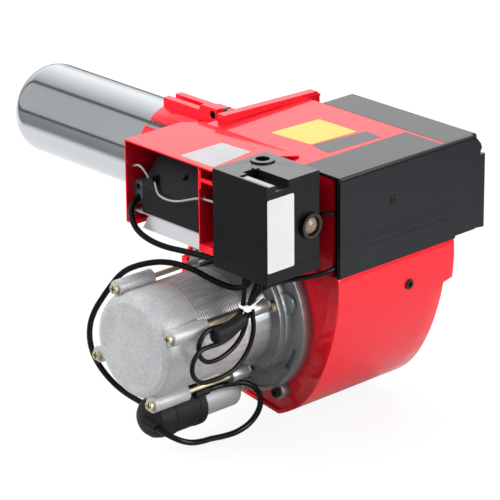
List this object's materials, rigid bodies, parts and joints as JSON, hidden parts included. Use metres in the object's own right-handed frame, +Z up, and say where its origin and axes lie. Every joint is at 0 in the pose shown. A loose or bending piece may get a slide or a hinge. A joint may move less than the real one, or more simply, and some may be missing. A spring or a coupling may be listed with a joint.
{
  "type": "diesel burner",
  "caption": "Light-oil boiler burner: stainless blast tube, red fan housing, side-mounted motor, ignition box, relay with reset button and black covers.",
  "frame": {"origin": "on the blast tube's axis, in the front face of the collar that holds it", "axes": "-X along the blast tube to the flame end, +Z up, the motor towards -Y"},
  "size_m": [0.5378, 0.3765, 0.3081],
  "materials": {
    "stainless": "polished",
    "steel_dark": "heat darkened",
    "brass": "turned",
    "ceramic": "glazed",
    "red_paint": "gloss",
    "red_sheet": "gloss",
    "zinc": "zinc plated",
    "black_screw": "black oxide",
    "cast_alu": "as cast",
    "laminations": "laminated",
    "white_plate": "gloss",
    "shaft_steel": "ground",
    "fan_alu": "pressed",
    "grey_nylon": "moulded",
    "pump_alu": "machined",
    "copper": "drawn",
    "black_plastic": "fine grain",
    "relay_black": "fine grain",
    "potting_grey": "moulded",
    "gland_rubber": "matt",
    "clear_lens": "clear tinted",
    "can_alu": "drawn",
    "boot_rubber": "moulded",
    "cable_black": "PVC",
    "tie_white": "nylon"
  },
  "bodies": {
    "burner": {"blast_tube": "stainless", "diffuser_disc": "steel_dark", "spray_nozzle": "brass", "nozzle_holder": "zinc", "head_spider": "steel_dark", "electrode_near": "ceramic", "electrode_far": "ceramic", "collar": "red_paint", "clamp_screw": "black_screw", "collar_screws": "zinc", "body_casting": "red_paint", "wall_screw": "black_screw", "motor_cap": "cast_alu", "stator": "laminations", "motor_shield": "cast_alu", "tie_rods": "zinc", "flange_plate": "cast_alu", "plate_bolts": "black_screw", "motor_bolts": "zinc", "bearing_rear": "shaft_steel", "bearing_front": "shaft_steel", "oil_pump": "pump_alu", "oil_nipples": "brass", "solenoid_valve": "relay_black", "oil_pipe": "copper", "oil_elbow": "brass", "photocell": "relay_black", "rear_cover": "black_plastic", "cover_screw": "black_screw", "cover_pillar": "cast_alu", "air_box": "black_plastic", "cowl": "red_sheet", "cowl_tie": "red_sheet", "cowl_foot": "red_sheet", "cowl_screws": "zinc", "transformer": "potting_grey", "transformer_base": "white_plate", "terminal_block": "grey_nylon", "ht_sockets": "relay_black", "control_box": "relay_black", "control_base": "relay_black", "cable_gland": "gland_rubber", "reset_ring": "relay_black", "capacitor_can": "can_alu", "capacitor_boot": "boot_rubber", "capacitor_nut": "zinc", "cord_tie": "tie_white", "motor_cord": "cable_black", "capacitor_cord": "cable_black", "hank_cord": "cable_black", "feed_cord": "cable_black", "loop_cord": "cable_black", "cell_cord": "cable_black", "post_lead": "cable_black"},
    "rotor": {"rotor_shaft": "shaft_steel", "fan_wheel": "fan_alu", "shaft_coupling": "grey_nylon", "pump_shaft": "shaft_steel"},
    "air_damper": {"air_flap": "fan_alu"},
    "reset_key": {"reset_button": "clear_lens"}
  },
  "joints": [
    {"name": "fan_spin", "type": "hinge", "parent": "burner", "child": "rotor", "pos_m": [0.186, 0, -0.11], "axis": [0, 1, 0], "continuous": true},
    {"name": "damper_turn", "type": "hinge", "parent": "burner", "child": "air_damper", "pos_m": [0.182, 0.119, 0.01], "axis": [0, 1, 0], "range_deg": [0, 80]},
    {"name": "reset_press", "type": "slide", "parent": "burner", "child": "reset_key", "axis": [-1, 0, 0], "range_m": [0, 0.0025], "stiffness_N_per_m": 400, "springref_m": -0.002}
  ]
}
